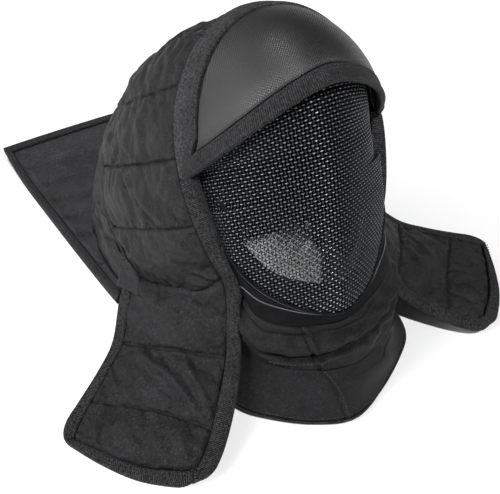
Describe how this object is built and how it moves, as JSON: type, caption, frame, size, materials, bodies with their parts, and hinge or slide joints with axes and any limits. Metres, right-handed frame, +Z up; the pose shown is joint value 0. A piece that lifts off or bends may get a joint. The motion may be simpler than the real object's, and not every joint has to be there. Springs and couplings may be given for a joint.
{
  "type": "fencing mask",
  "caption": "Steel mesh face mask with a cloth bib and a padded, quilted cover whose side and neck flaps spread over the surface it rests on.",
  "frame": {"origin": "centre of the bounding box, at its lowest face, where the neck panel and the bib's hem rest on the surface", "axes": "+Z up, -Y the way the face looks, +Y towards the neck panel, +X the wearer's left"},
  "size_m": [0.4532, 0.5165, 0.2919],
  "materials": {
    "mesh_steel": "black painted wire",
    "trim_plastic": "smooth black trim",
    "brow_weave": "coarse dark grey weave",
    "quilted_cover": "charcoal nylon, quilted",
    "ribbed_tape": "ribbed dark grey tape",
    "bib_cloth": "matt black padded cloth",
    "hook_and_loop": "black pile"
  },
  "bodies": {
    "root": {"mesh_cage": "mesh_steel", "mesh_trim": "trim_plastic", "bib_band": "trim_plastic", "bib_collar": "bib_cloth", "bib_skirt": "bib_cloth", "bib_binding": "ribbed_tape", "forehead_panel": "brow_weave", "forehead_band": "ribbed_tape", "crown_band": "ribbed_tape", "side_panel_left": "quilted_cover", "side_panel_right": "quilted_cover", "flap_binding_left": "ribbed_tape", "flap_binding_right": "ribbed_tape", "edge_band_left": "ribbed_tape", "edge_band_right": "ribbed_tape", "tab_left": "hook_and_loop", "tab_right": "hook_and_loop", "back_panel": "quilted_cover", "rear_flap": "quilted_cover", "rear_flap_binding": "ribbed_tape", "strap_loop": "hook_and_loop"}
  },
  "joints": []
}
